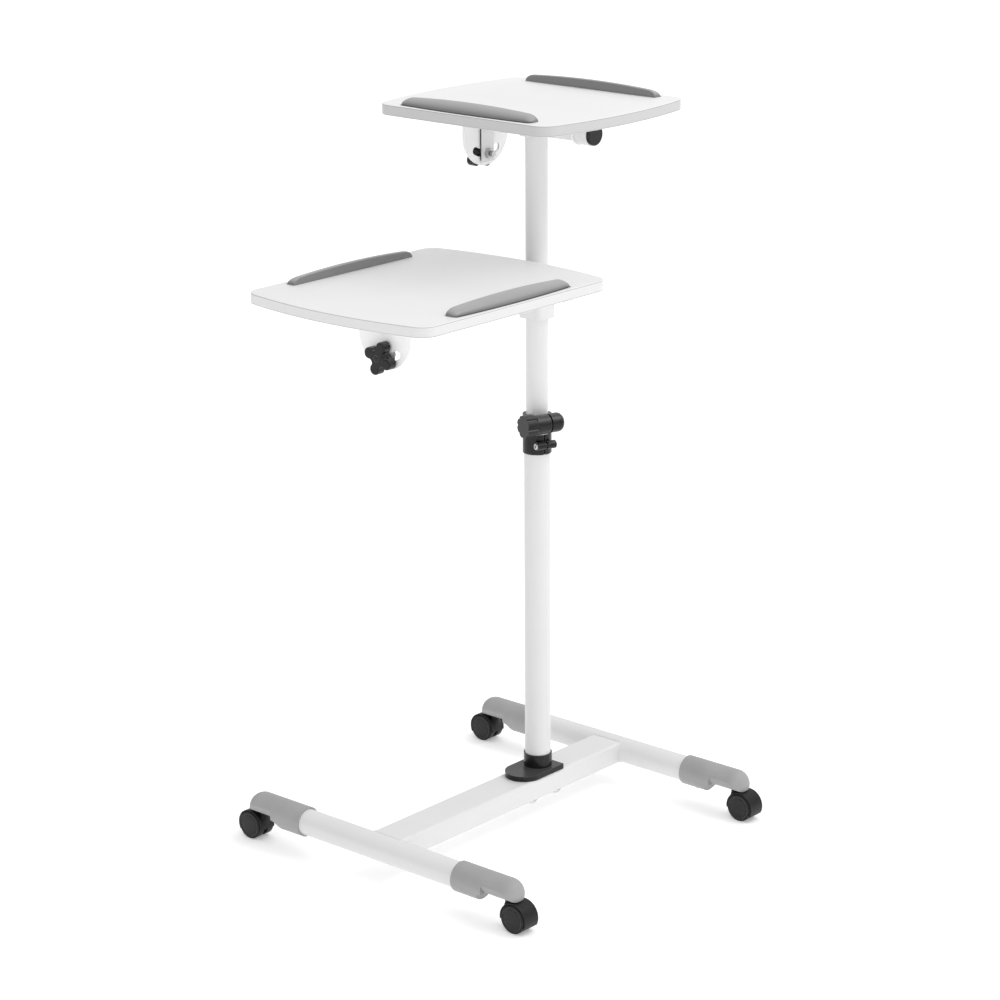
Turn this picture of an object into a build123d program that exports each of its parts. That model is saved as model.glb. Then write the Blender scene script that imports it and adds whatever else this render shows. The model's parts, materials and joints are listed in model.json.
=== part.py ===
from build123d import *
from math import cos, hypot, radians, sin
import os

# Rolling stand with two tilting shelves for a projector and a laptop.
# Millimetres, +Z up. The origin is on the floor, under the middle of the stand's box.
# +X runs along the two legs, +Y along the cross beam, from the front leg to the rear leg.

# Running gaps
SLIDE_GAP = 0.3
TURN_GAP = 0.3
RUB_GAP = 0.4
SEAT_GAP = 0.1

# Base frame
LEG_OD = 38.0
LEG_WALL = 1.5
LEG_AXIS_Z = 50.0
FRONT_REACH = 338.0
REAR_REACH = 174.0
BEAM_WIDTH = 56.0
BEAM_HEIGHT = 32.0
BEAM_WALL = 2.0
BEAM_CORNER = 4.0

# Foot caps
CAP_OD = 44.0
CAP_BEHIND_STEM = 89.0
CAP_SOCKET = 32.0
NOSE_REACH = 21.0
NOSE_HEIGHT = 28.0
NOSE_WIDTH = 41.0
NOSE_TAPER = 22.0
NOTCH_FOOT_BACK = 48.0
NOTCH_TOP_BACK = 34.0

# Casters
WHEEL_RADIUS = 20.5
WHEEL_WIDTH = 11.5
WHEEL_FACE_DISH = 1.2
CASTER_WIDTH = 30.0
CASTER_TRAIL = 17.0
STEM_X = 236.0
STEM_RADIUS = 5.0
STEM_BOSS_RADIUS = 6.0
BOSS_NECK = 5.0
STEM_DEPTH = 17.0
HOOD_WALL = 1.6
HOOD_GAP = 0.7
HOOD_WEB = 5.0
AXLE_RADIUS = 3.0
HOOD_OUTER_ANGLE = -28.0
HOOD_STEM_ANGLE = 190.0

# Column
LOWER_TUBE_OD = 38.0
LOWER_TUBE_ID = 34.0
UPPER_TUBE_OD = 32.0
UPPER_TUBE_ID = 28.0
UPPER_TUBE_LENGTH = 636.0
SADDLE_FLOOR = 2.0
SADDLE_DROP = 6.0
SADDLE_LENGTH = 28.0
SADDLE_REACH = 9.0

# Base flange
FLANGE_PLATE = 8.0
FLANGE_SLEEVE_OD = 42.0
FLANGE_SLEEVE_HEIGHT = 20.5
FLANGE_FRONT = 60.0
FLANGE_REAR = 26.0

# Height clamp
CLAMP_FOOT = 557.0
CLAMP_LOWER_BAND = 33.0
CLAMP_UPPER_BAND = 24.0
CLAMP_OD = 42.0
CLAMP_TURN = -19.0
CLAMP_SLIT = 2.5
CLAMP_LEDGE = 2.0
LUG_OUTSTAND = 9.5
LUG_RISE = 16.0
LUG_RADIUS = 14.0
LUG_FRONT = 22.5
LUG_REAR = 23.0
LUG_ROUND = 9.0
CLAMP_SCREW_RADIUS = 4.0
CLAMP_KNOB_RADIUS = 16.5
CLAMP_KNOB_LENGTH = 17.0
CLAMP_KNOB_FLUTES = 8
CLAMP_KNOB_STANDOFF = 2.0
PINCH_RISE = 15.0
PINCH_OUTSTAND = 3.0
PINCH_RADIUS = 6.0
PINCH_FRONT = 15.0
PINCH_REAR = 15.0
PINCH_BOLT_RADIUS = 2.5
PINCH_HEAD_RADIUS = 4.5

# Shelves: each runs along its own tilt axis, with bowed ends and straight sides
BOARD_THICK = 15.0
BOARD_CORNER = 25.0
BOARD_EDGE_ROUND = 1.2
UPPER_LENGTH = 338.0
UPPER_WIDTH = 305.0
UPPER_BOW = 18.0
UPPER_BOARD_Z = 1051.0
UPPER_LEAD = 10.0
LOWER_LENGTH = 409.0
LOWER_WIDTH = 330.0
LOWER_BOW = 20.0
LOWER_BOARD_Z = 827.0
LOWER_REACH = 228.0

# Stoppers
STOP_LENGTH = 237.0
STOP_RADIUS = 26.6
STOP_END_RADIUS = 22.5
STOP_END_ROUND = 6.0
STOP_AXIS_DROP = 13.2
STOP_INSET = 27.0
STOP_POCKET = 1.5

# Tilt brackets
PIVOT_DROP = 20.0
SHEET = 3.0
YOKE_HALF = 88.0
YOKE_PLATE_WIDTH = 60.0
TONGUE_WIDTH = 94.0
TONGUE_DROP = 85.5
EAR_WIDTH = 34.0
SLOT_DROP = 68.0
SLOT_WIDTH = 11.4
TILT_LIMIT = 25.0
TILT_OVERTRAVEL = 3.0
TILT_TUBE_OD = 26.0
TILT_TUBE_WALL = 2.0
TUBE_PLUG = 6.0
TAB_BELOW_BOLT = 12.0
PIVOT_SCREW_RADIUS = 4.0
PIVOT_CAP_RADIUS = 12.0
PIVOT_CAP_LENGTH = 8.0
END_BOSS_RADIUS = 16.0
END_BOSS_LENGTH = 22.0
END_CAP_RADIUS = 15.5
END_CAP_LENGTH = 5.0
CAP_ROUND = 2.0

# Four lobed tilt knobs
TILT_STUD_RADIUS = 4.0
LOBE_KNOB_RADIUS = 24.5
LOBE_RADIUS = 8.0
LOBE_WAIST = 12.0
LOBE_HOLLOW = 4.0
LOBE_KNOB_LENGTH = 13.0
UPPER_LOBE_TURN = 38.0
LOWER_LOBE_TURN = 20.0
LOBE_EDGE_ROUND = 2.5
LOBE_HUB_RADIUS = 11.0
LOBE_HUB_LENGTH = 3.0
NUT_ACROSS = 13.0
NUT_LENGTH = 6.5
STUD_TAIL = 4.5

# Sliding collar of the lower shelf
COLLAR_X = 42.0
COLLAR_Y = 38.0
COLLAR_HEIGHT = 66.0
COLLAR_ROUND = 8.0
COLLAR_BELOW_PIVOT = 51.0
COLLAR_KNOB_RISE = 32.0
COLLAR_KNOB_REACH = 51.0
COLLAR_KNOB_RADIUS = 20.0
COLLAR_KNOB_LENGTH = 18.0
COLLAR_KNOB_FLUTES = 8
COLLAR_SCREW_RADIUS = 5.0

# Places worked out from the sizes above
FRONT_EXTENT = LOWER_REACH + LOWER_LENGTH / 2
REAR_EXTENT = REAR_REACH + CAP_OD / 2
COLUMN_Y = (FRONT_EXTENT - REAR_EXTENT) / 2
FRONT_LEG_Y = COLUMN_Y - FRONT_REACH
REAR_LEG_Y = COLUMN_Y + REAR_REACH
BEAM_TOP = LEG_AXIS_Z + BEAM_HEIGHT / 2
UPPER_PIVOT_Z = UPPER_BOARD_Z - PIVOT_DROP
LOWER_PIVOT_Z = LOWER_BOARD_Z - PIVOT_DROP
UPPER_TUBE_TOP = UPPER_PIVOT_Z - TILT_TUBE_OD / 2 - SADDLE_FLOOR
UPPER_TUBE_FOOT = UPPER_TUBE_TOP - UPPER_TUBE_LENGTH
SLOT_RADIUS = SLOT_DROP - PIVOT_DROP
SLOT_HALF_ANGLE = TILT_LIMIT + TILT_OVERTRAVEL

NOSE_FOOT = LEG_AXIS_Z + CAP_OD / 2 - NOSE_HEIGHT
STEM_TOP = NOSE_FOOT + STEM_DEPTH
CAP_START = STEM_X - CAP_BEHIND_STEM
CAP_END = STEM_X + NOSE_REACH
NOTCH_FOOT = STEM_X - NOTCH_FOOT_BACK
NOTCH_TOP = STEM_X - NOTCH_TOP_BACK
LEG_TUBE_HALF = CAP_START + CAP_SOCKET - RUB_GAP

CLAMP_STEP = CLAMP_FOOT + CLAMP_LOWER_BAND
CLAMP_TOP = CLAMP_STEP + CLAMP_UPPER_BAND
LUG_X = CLAMP_OD / 2 + LUG_OUTSTAND
LUG_Z = CLAMP_STEP + LUG_RISE
PINCH_X = CLAMP_OD / 2 + PINCH_OUTSTAND
PINCH_Z = CLAMP_FOOT + PINCH_RISE
COLLAR_FOOT = LOWER_PIVOT_Z - COLLAR_BELOW_PIVOT
COLLAR_KNOB_Z = COLLAR_FOOT + COLLAR_KNOB_RISE

COLUMN = Plane(origin=(0, COLUMN_Y, 0))
CLAMP = COLUMN.rotated((0, 0, CLAMP_TURN))
UPPER_TILT = Plane(
    origin=(0, COLUMN_Y - UPPER_LEAD, UPPER_PIVOT_Z), x_dir=(1, 0, 0), z_dir=(0, 0, 1)
)
LOWER_TILT = Plane(
    origin=(0, COLUMN_Y - LOWER_REACH, LOWER_PIVOT_Z), x_dir=(0, 1, 0), z_dir=(0, 0, 1)
)

os.makedirs("parts", exist_ok=True)


def save(piece, name):
    piece.label = name
    export_step(piece, f"parts/{name}.step")


def across(frame, along):
    """Plane square to a frame's X at a distance along it: sketch X is its Y, sketch Y its Z."""
    return Plane(
        origin=frame.from_local_coords((along, 0, 0)), x_dir=frame.y_dir, z_dir=frame.x_dir
    )


def level(frame, height):
    """Plane parallel to a frame at a height above it."""
    return frame.offset(height)


# Leg tubes
for name, leg_y in (("front_leg_tube", FRONT_LEG_Y), ("rear_leg_tube", REAR_LEG_Y)):
    leg_axis = Plane(origin=(-LEG_TUBE_HALF, leg_y, LEG_AXIS_Z), x_dir=(0, 1, 0), z_dir=(1, 0, 0))
    with BuildPart() as leg_tube:
        with BuildSketch(leg_axis):
            Circle(LEG_OD / 2)
            Circle(LEG_OD / 2 - LEG_WALL, mode=Mode.SUBTRACT)
        extrude(amount=2 * LEG_TUBE_HALF)
    save(leg_tube.part, name)

# Cross beam, coped to seat against both leg tubes
with BuildPart() as cross_beam:
    with BuildSketch(Plane(origin=(0, FRONT_LEG_Y, LEG_AXIS_Z), x_dir=(-1, 0, 0), z_dir=(0, 1, 0))):
        RectangleRounded(BEAM_WIDTH, BEAM_HEIGHT, BEAM_CORNER)
        RectangleRounded(
            BEAM_WIDTH - 2 * BEAM_WALL,
            BEAM_HEIGHT - 2 * BEAM_WALL,
            BEAM_CORNER - BEAM_WALL,
            mode=Mode.SUBTRACT,
        )
    extrude(amount=REAR_LEG_Y - FRONT_LEG_Y)
    for leg_y in (FRONT_LEG_Y, REAR_LEG_Y):
        with BuildSketch(Plane(origin=(0, leg_y, LEG_AXIS_Z), x_dir=(0, 1, 0), z_dir=(1, 0, 0))):
            Circle(LEG_OD / 2 + SEAT_GAP)
        extrude(amount=BEAM_WIDTH, both=True, mode=Mode.SUBTRACT)
save(cross_beam.part, "cross_beam")


def build_foot_cap(name, side, leg_y):
    """Sleeve on a leg tube's end that runs out into a rounded nose over the caster's stem."""
    top = CAP_OD / 2
    nose_z = top - NOSE_HEIGHT / 2
    cap_axis = Plane(
        origin=(side * CAP_START, leg_y, LEG_AXIS_Z), x_dir=(0, 1, 0), z_dir=(side, 0, 0)
    )
    side_view = Plane(origin=(0, leg_y, LEG_AXIS_Z), x_dir=(side, 0, 0), z_dir=(0, -side, 0))
    with BuildPart() as cap:
        with BuildSketch(cap_axis):
            with Locations((0, side * nose_z)):
                SlotOverall(NOSE_WIDTH, NOSE_HEIGHT)
        extrude(amount=CAP_END - CAP_START)
        with BuildSketch(side_view):
            with BuildLine():
                Polyline((CAP_START, nose_z), (CAP_START, -top), (NOTCH_FOOT, -top))
                Spline(
                    (NOTCH_FOOT, -top),
                    (NOTCH_TOP, nose_z - NOSE_HEIGHT / 2),
                    tangents=[(0.2, 1), (1, 0.1)],
                )
                Polyline(
                    (NOTCH_TOP, nose_z - NOSE_HEIGHT / 2), (NOTCH_TOP, nose_z), (CAP_START, nose_z)
                )
            make_face()
        extrude(amount=CAP_OD / 2, both=True)
        with BuildSketch(side_view):
            with BuildLine():
                EllipticalCenterArc(
                    (CAP_END - NOSE_TAPER, 0), NOSE_TAPER, top, start_angle=0, arc_size=90
                )
                Polyline((CAP_END - NOSE_TAPER, top), (CAP_START, top), (CAP_START, 0), (CAP_END, 0))
            make_face()
        revolve(axis=Axis(cap_axis.origin, cap_axis.z_dir), mode=Mode.INTERSECT)
        with BuildSketch(cap_axis):
            Circle(LEG_OD / 2 + SEAT_GAP)
        extrude(amount=CAP_SOCKET, mode=Mode.SUBTRACT)
        with BuildSketch(Plane(origin=(side * STEM_X, leg_y, 0))):
            Circle(STEM_RADIUS + TURN_GAP)
        extrude(amount=STEM_TOP + TURN_GAP, mode=Mode.SUBTRACT)
    save(cap.part, name)


def build_caster(name, side, leg_y):
    """Hooded twin wheel caster that trails outwards from its stem."""
    axle = Plane(
        origin=(side * (STEM_X + CASTER_TRAIL), leg_y, WHEEL_RADIUS),
        x_dir=(side, 0, 0),
        z_dir=(0, -side, 0),
    )
    well = WHEEL_RADIUS + HOOD_GAP
    shell = well + HOOD_WALL
    half_hood = CASTER_WIDTH / 2 - WHEEL_FACE_DISH
    with BuildPart() as hood:
        with BuildSketch(axle):
            with BuildLine():
                PolarLine((0, 0), shell, HOOD_OUTER_ANGLE)
                CenterArc((0, 0), shell, HOOD_OUTER_ANGLE, HOOD_STEM_ANGLE - HOOD_OUTER_ANGLE)
                PolarLine((0, 0), shell, HOOD_STEM_ANGLE)
            make_face()
        extrude(amount=half_hood, both=True)
        with BuildSketch(Plane(origin=(side * STEM_X, leg_y, WHEEL_RADIUS))):
            Circle(STEM_BOSS_RADIUS)
        extrude(amount=NOSE_FOOT - RUB_GAP - WHEEL_RADIUS)
        with BuildSketch(Plane(origin=(side * STEM_X, leg_y, WHEEL_RADIUS))):
            Rectangle(2 * STEM_BOSS_RADIUS, 2 * half_hood)
        with BuildSketch(Plane(origin=(side * STEM_X, leg_y, NOSE_FOOT - RUB_GAP - BOSS_NECK))):
            Circle(STEM_BOSS_RADIUS)
        loft()
        for wheel_side in (-1, 1):
            with BuildSketch(axle.offset(wheel_side * HOOD_WEB / 2)):
                Circle(well)
            extrude(amount=wheel_side * CASTER_WIDTH, mode=Mode.SUBTRACT)
        with BuildSketch(Plane(origin=(side * STEM_X, leg_y, NOSE_FOOT - RUB_GAP))):
            Circle(STEM_RADIUS)
        extrude(amount=STEM_TOP - NOSE_FOOT + RUB_GAP)
        with BuildSketch(axle):
            Circle(AXLE_RADIUS + TURN_GAP)
        extrude(amount=CASTER_WIDTH, both=True, mode=Mode.SUBTRACT)
    save(hood.part, f"caster_hood_{name}")

    inner = CASTER_WIDTH / 2 - WHEEL_WIDTH
    with BuildPart() as wheels:
        with BuildSketch(axle):
            Circle(AXLE_RADIUS)
        extrude(amount=inner, both=True)
        for wheel_side in (-1, 1):
            with BuildSketch(axle.offset(wheel_side * inner)):
                Circle(WHEEL_RADIUS)
            extrude(amount=wheel_side * WHEEL_WIDTH)
        fillet(wheels.edges().filter_by(GeomType.CIRCLE).filter_by(
            lambda edge: abs(edge.radius - WHEEL_RADIUS) < TURN_GAP), WHEEL_FACE_DISH)
    save(wheels.part, f"caster_wheels_{name}")


for end_name, leg_y in (("front", FRONT_LEG_Y), ("rear", REAR_LEG_Y)):
    for side_name, side in (("left", -1), ("right", 1)):
        build_foot_cap(f"foot_cap_{end_name}_{side_name}", side, leg_y)
        build_caster(f"{end_name}_{side_name}", side, leg_y)

# Base flange: a plate rounded at the front, with a sleeve round the column
with BuildPart() as base_flange:
    with BuildSketch(level(COLUMN, BEAM_TOP)):
        with Locations((0, -(FLANGE_FRONT - BEAM_WIDTH / 2))):
            Circle(BEAM_WIDTH / 2)
        with Locations((0, FLANGE_REAR)):
            Rectangle(
                BEAM_WIDTH,
                FLANGE_REAR + FLANGE_FRONT - BEAM_WIDTH / 2,
                align=(Align.CENTER, Align.MAX),
            )
    extrude(amount=FLANGE_PLATE)
    with BuildSketch(level(COLUMN, BEAM_TOP + FLANGE_PLATE)):
        Circle(FLANGE_SLEEVE_OD / 2)
    extrude(amount=FLANGE_SLEEVE_HEIGHT)
    with BuildSketch(level(COLUMN, BEAM_TOP)):
        Circle(LOWER_TUBE_OD / 2 + SEAT_GAP)
    extrude(amount=FLANGE_PLATE + FLANGE_SLEEVE_HEIGHT, mode=Mode.SUBTRACT)
save(base_flange.part, "base_flange")

# Column tubes; the upper one ends in a saddle under the upper tilt tube
with BuildPart() as lower_tube:
    with BuildSketch(level(COLUMN, BEAM_TOP)):
        Circle(LOWER_TUBE_OD / 2)
        Circle(LOWER_TUBE_ID / 2, mode=Mode.SUBTRACT)
    extrude(amount=CLAMP_STEP - BEAM_TOP)
save(lower_tube.part, "lower_tube")

with BuildPart() as upper_tube:
    with BuildSketch(level(COLUMN, UPPER_TUBE_FOOT)):
        Circle(UPPER_TUBE_OD / 2)
        Circle(UPPER_TUBE_ID / 2, mode=Mode.SUBTRACT)
    extrude(amount=UPPER_TUBE_LENGTH)
    with BuildSketch(level(COLUMN, UPPER_TUBE_TOP)):
        with Locations((0, UPPER_TUBE_OD / 2)):
            Rectangle(
                SADDLE_LENGTH,
                UPPER_TUBE_OD / 2 + UPPER_LEAD + SADDLE_REACH,
                align=(Align.CENTER, Align.MAX),
            )
    extrude(amount=SADDLE_FLOOR + TILT_TUBE_OD / 2 - SADDLE_DROP)
    fillet(upper_tube.faces().sort_by(Axis.Z)[-1].edges(), CAP_ROUND)
    with BuildSketch(across(UPPER_TILT, 0)):
        Circle(TILT_TUBE_OD / 2 + SEAT_GAP)
    extrude(amount=SADDLE_LENGTH, both=True, mode=Mode.SUBTRACT)
save(upper_tube.part, "upper_tube")

# Height clamp: a split sleeve, pinched on the lower tube and clamped on the upper one
lug_axis = Plane(
    origin=CLAMP.from_local_coords((LUG_X, 0, LUG_Z)), x_dir=-CLAMP.x_dir, z_dir=CLAMP.y_dir
)
pinch_axis = Plane(
    origin=CLAMP.from_local_coords((PINCH_X, 0, PINCH_Z)), x_dir=-CLAMP.x_dir, z_dir=CLAMP.y_dir
)
with BuildPart() as height_clamp:
    with BuildSketch(level(COLUMN, CLAMP_FOOT)):
        Circle(CLAMP_OD / 2)
    extrude(amount=CLAMP_TOP - CLAMP_FOOT)
    with BuildSketch(lug_axis.offset(-LUG_FRONT)):
        Circle(LUG_RADIUS)
    extrude(amount=LUG_FRONT + LUG_REAR)
    lug_end = height_clamp.faces().sort_by(Axis(lug_axis.origin, lug_axis.z_dir))[-1]
    fillet(lug_end.edges(), LUG_ROUND)
    with BuildSketch(pinch_axis.offset(-PINCH_FRONT)):
        Circle(PINCH_RADIUS)
    extrude(amount=PINCH_FRONT + PINCH_REAR)
    with BuildSketch(level(COLUMN, CLAMP_FOOT)):
        Circle(LOWER_TUBE_OD / 2 + SEAT_GAP)
    extrude(amount=CLAMP_STEP - CLAMP_FOOT, mode=Mode.SUBTRACT)
    with BuildSketch(level(COLUMN, CLAMP_STEP)):
        Circle(UPPER_TUBE_OD / 2 + SLIDE_GAP)
    extrude(amount=LUG_RISE + LUG_RADIUS, mode=Mode.SUBTRACT)
    with BuildSketch(level(CLAMP, CLAMP_FOOT)):
        Rectangle(LUG_X + CLAMP_OD, CLAMP_SLIT, align=(Align.MIN, Align.CENTER))
    extrude(amount=LUG_Z + 2 * LUG_RADIUS - CLAMP_FOOT, mode=Mode.SUBTRACT)
    with BuildSketch(level(CLAMP, CLAMP_STEP - 2 * CLAMP_LEDGE)):
        Rectangle(LUG_X + CLAMP_OD, 2 * CLAMP_OD, align=(Align.MIN, Align.CENTER))
        Circle(LOWER_TUBE_OD / 2, mode=Mode.SUBTRACT)
    extrude(amount=CLAMP_LEDGE, mode=Mode.SUBTRACT)
    with BuildSketch(lug_axis):
        Circle(CLAMP_SCREW_RADIUS + TURN_GAP)
    extrude(amount=LUG_FRONT + LUG_REAR, both=True, mode=Mode.SUBTRACT)
    with BuildSketch(pinch_axis):
        Circle(PINCH_BOLT_RADIUS + SEAT_GAP)
    extrude(amount=PINCH_FRONT + PINCH_REAR, both=True, mode=Mode.SUBTRACT)
save(height_clamp.part, "height_clamp")

with BuildPart() as clamp_bolt:
    with BuildSketch(pinch_axis.offset(-PINCH_FRONT)):
        Circle(PINCH_BOLT_RADIUS)
    extrude(amount=PINCH_FRONT + PINCH_REAR)
    with BuildSketch(pinch_axis.offset(-PINCH_FRONT)):
        Circle(PINCH_HEAD_RADIUS)
    extrude(amount=-PINCH_BOLT_RADIUS)
    with BuildSketch(pinch_axis.offset(PINCH_REAR)):
        RegularPolygon(PINCH_HEAD_RADIUS, 6)
    extrude(amount=PINCH_BOLT_RADIUS)
save(clamp_bolt.part, "clamp_bolt")


def build_fluted_knob(name, face, radius, length, flutes, screw_radius, screw_length):
    """Round fluted knob that stands on a plane, with its screw going back behind the plane."""
    scallop = radius * sin(radians(180 / flutes)) * 0.55
    with BuildPart() as knob:
        with BuildSketch(face):
            Circle(radius)
            with PolarLocations(radius + 0.45 * scallop, flutes):
                Circle(scallop, mode=Mode.SUBTRACT)
        extrude(amount=length)
        with BuildSketch(face):
            Circle(screw_radius)
        extrude(amount=-screw_length)
    save(knob.part, name)


build_fluted_knob(
    "height_knob",
    Plane(
        origin=CLAMP.from_local_coords((LUG_X, -LUG_FRONT - CLAMP_KNOB_STANDOFF, LUG_Z)),
        x_dir=CLAMP.x_dir,
        z_dir=-CLAMP.y_dir,
    ),
    CLAMP_KNOB_RADIUS,
    CLAMP_KNOB_LENGTH,
    CLAMP_KNOB_FLUTES,
    CLAMP_SCREW_RADIUS,
    LUG_FRONT + CLAMP_KNOB_STANDOFF + LUG_REAR / 2,
)


def build_spindle(frame, side, width, floor, room):
    """Quarter of a spindle that stands on a floor inside a shelf's edge, swollen by some room."""
    half = STOP_LENGTH / 2 + room
    end = STOP_END_RADIUS + room
    foot = PIVOT_DROP + BOARD_THICK
    inner = frame.from_local_coords(
        (0, side * (width / 2 - STOP_INSET - room), foot - STOP_AXIS_DROP)
    )
    with BuildPart() as spindle:
        with BuildSketch(Plane(origin=inner, x_dir=frame.x_dir, z_dir=-frame.y_dir)) as profile:
            with BuildLine():
                Line((-half, 0), (half, 0))
                Line((half, 0), (half, end))
                ThreePointArc((half, end), (0, STOP_RADIUS + room), (-half, end))
                Line((-half, end), (-half, 0))
            make_face()
            fillet(profile.vertices().sort_by(Axis.Y)[-2:], STOP_END_ROUND)
        revolve(axis=Axis(inner, -side * frame.x_dir), revolution_arc=90)
        split(bisect_by=level(frame, foot - STOP_POCKET + floor), keep=Keep.TOP)
    return spindle.part


def build_stopper(name, frame, side, width):
    """Edge stopper: upright inner face, arched top, rounded outer side."""
    save(build_spindle(frame, side, width, SEAT_GAP, 0.0), name)


def build_board(name, frame, length, width, bow):
    """Shelf board with bowed ends along its tilt axis and a shallow pocket for each stopper."""
    end = length / 2 - bow
    with BuildPart() as board:
        with BuildSketch(level(frame, PIVOT_DROP)) as outline:
            with BuildLine():
                Line((-end, -width / 2), (end, -width / 2))
                ThreePointArc((end, -width / 2), (length / 2, 0), (end, width / 2))
                Line((end, width / 2), (-end, width / 2))
                ThreePointArc((-end, width / 2), (-length / 2, 0), (-end, -width / 2))
            make_face()
            fillet(outline.vertices(), BOARD_CORNER)
        extrude(amount=BOARD_THICK)
        rims = board.faces().filter_by(Plane.XY).edges()
        fillet(rims, BOARD_EDGE_ROUND)
        for side in (-1, 1):
            add(build_spindle(frame, side, width, 0.0, SEAT_GAP), mode=Mode.SUBTRACT)
    save(board.part, name)


def build_yoke(name, frame, ear_hole):
    """Folded plate under a board: a tongue with the arc slot at one end, an ear at the other."""
    top = PIVOT_DROP
    half = TONGUE_WIDTH / 2
    round_z = PIVOT_DROP - TONGUE_DROP + half
    slot_in = SLOT_RADIUS - SLOT_WIDTH / 2
    slot_out = SLOT_RADIUS + SLOT_WIDTH / 2
    first = 270 - SLOT_HALF_ANGLE
    last = 270 + SLOT_HALF_ANGLE
    with BuildPart() as yoke:
        with BuildSketch(level(frame, top - SHEET)):
            Rectangle(2 * YOKE_HALF, YOKE_PLATE_WIDTH)
        extrude(amount=SHEET)
        with BuildSketch(across(frame, -YOKE_HALF)):
            with BuildLine():
                Polyline((-half, round_z), (-half, top), (half, top), (half, round_z))
                CenterArc((0, round_z), half, 180, 180)
            make_face()
            Circle(PIVOT_SCREW_RADIUS + TURN_GAP, mode=Mode.SUBTRACT)
        extrude(amount=SHEET)
        with BuildSketch(across(frame, -YOKE_HALF)):
            with BuildLine():
                CenterArc((0, 0), slot_out, first, 2 * SLOT_HALF_ANGLE)
                CenterArc((0, 0), slot_in, first, 2 * SLOT_HALF_ANGLE)
                for angle, begin in ((first, first - 180), (last, last)):
                    middle = (SLOT_RADIUS * cos(radians(angle)), SLOT_RADIUS * sin(radians(angle)))
                    CenterArc(middle, SLOT_WIDTH / 2, begin, 180)
            make_face()
        extrude(amount=SHEET, mode=Mode.SUBTRACT)
        with BuildSketch(across(frame, YOKE_HALF)):
            Circle(EAR_WIDTH / 2)
            with Locations((0, top)):
                Rectangle(EAR_WIDTH, top, align=(Align.CENTER, Align.MAX))
            Circle(ear_hole, mode=Mode.SUBTRACT)
        extrude(amount=-SHEET)
    save(yoke.part, name)


def build_tilt_tube(name, frame, tail, plug):
    """Fixed tube on the tilt axis, with a long tab at one end that takes the slot stud."""
    tab = YOKE_HALF - SHEET - RUB_GAP
    foot = SLOT_RADIUS + TAB_BELOW_BOLT
    with BuildPart() as tube:
        with BuildSketch(across(frame, SHEET - tab)):
            Circle(TILT_TUBE_OD / 2)
            Circle(TILT_TUBE_OD / 2 - TILT_TUBE_WALL, mode=Mode.SUBTRACT)
        extrude(amount=tail + tab - SHEET)
        if plug:
            with BuildSketch(across(frame, tail)):
                Circle(TILT_TUBE_OD / 2)
            extrude(amount=-TUBE_PLUG)
        with BuildSketch(across(frame, -tab)):
            Circle(TILT_TUBE_OD / 2)
            Rectangle(TILT_TUBE_OD, foot, align=(Align.CENTER, Align.MAX))
            with Locations((0, -SLOT_RADIUS)):
                Circle(TILT_STUD_RADIUS + TURN_GAP, mode=Mode.SUBTRACT)
        extrude(amount=SHEET)
        with BuildSketch(across(frame, -tab)):
            Circle(PIVOT_SCREW_RADIUS + SEAT_GAP)
        extrude(amount=SHEET, mode=Mode.SUBTRACT)
        if plug:
            with BuildSketch(across(frame, tail)):
                Circle(PIVOT_SCREW_RADIUS + SEAT_GAP)
            extrude(amount=-TUBE_PLUG, mode=Mode.SUBTRACT)
    save(tube.part, name)


def build_tilt_nut(name, frame):
    """Nut welded to the back of the tab, that the knob's stud runs in."""
    tab_face = -YOKE_HALF + 2 * SHEET + RUB_GAP
    with BuildPart() as nut:
        with BuildSketch(across(frame, tab_face)):
            with Locations((0, -SLOT_RADIUS)):
                RegularPolygon(NUT_ACROSS / 2, 6, major_radius=False)
                Circle(TILT_STUD_RADIUS + TURN_GAP, mode=Mode.SUBTRACT)
        extrude(amount=NUT_LENGTH)
    save(nut.part, name)


def build_lobe_knob(name, frame, turn):
    """Four lobed hand knob on a stud, with a hub that bears on the tongue."""
    face = -YOKE_HALF - RUB_GAP
    center = LOBE_KNOB_RADIUS - LOBE_RADIUS
    tab_face = -YOKE_HALF + 2 * SHEET + RUB_GAP
    with BuildPart() as knob:
        with BuildSketch(across(frame, face - LOBE_HUB_LENGTH)) as lobes:
            with Locations((0, -SLOT_RADIUS)):
                Circle(LOBE_WAIST)
                with PolarLocations(center, 4, start_angle=turn):
                    Circle(LOBE_RADIUS)
            hollows = [v for v in lobes.vertices() if hypot(v.X, v.Y + SLOT_RADIUS) < center]
            fillet(hollows, LOBE_HOLLOW)
        extrude(amount=-LOBE_KNOB_LENGTH)
        front = knob.faces().sort_by(Axis(frame.origin, frame.x_dir))[0]
        fillet(front.edges(), LOBE_EDGE_ROUND)
        with BuildSketch(across(frame, face)):
            with Locations((0, -SLOT_RADIUS)):
                Circle(LOBE_HUB_RADIUS)
        extrude(amount=-LOBE_HUB_LENGTH)
        with BuildSketch(across(frame, face)):
            with Locations((0, -SLOT_RADIUS)):
                Circle(TILT_STUD_RADIUS)
        extrude(amount=tab_face - face + NUT_LENGTH + STUD_TAIL)
    save(knob.part, name)


def build_pivot_cap(name, frame, place, direction, radius, length, grip):
    """Round cap that faces along a tilt axis, with the pivot screw behind it."""
    seat = across(frame, direction * place)
    face = Plane(origin=seat.origin, x_dir=seat.x_dir, z_dir=direction * seat.z_dir)
    with BuildPart() as cap:
        with BuildSketch(face):
            Circle(radius)
        extrude(amount=length)
        outer = cap.faces().sort_by(Axis(face.origin, face.z_dir))[-1]
        fillet(outer.edges(), CAP_ROUND)
        with BuildSketch(face):
            Circle(PIVOT_SCREW_RADIUS)
        extrude(amount=-grip)
    save(cap.part, name)


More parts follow.
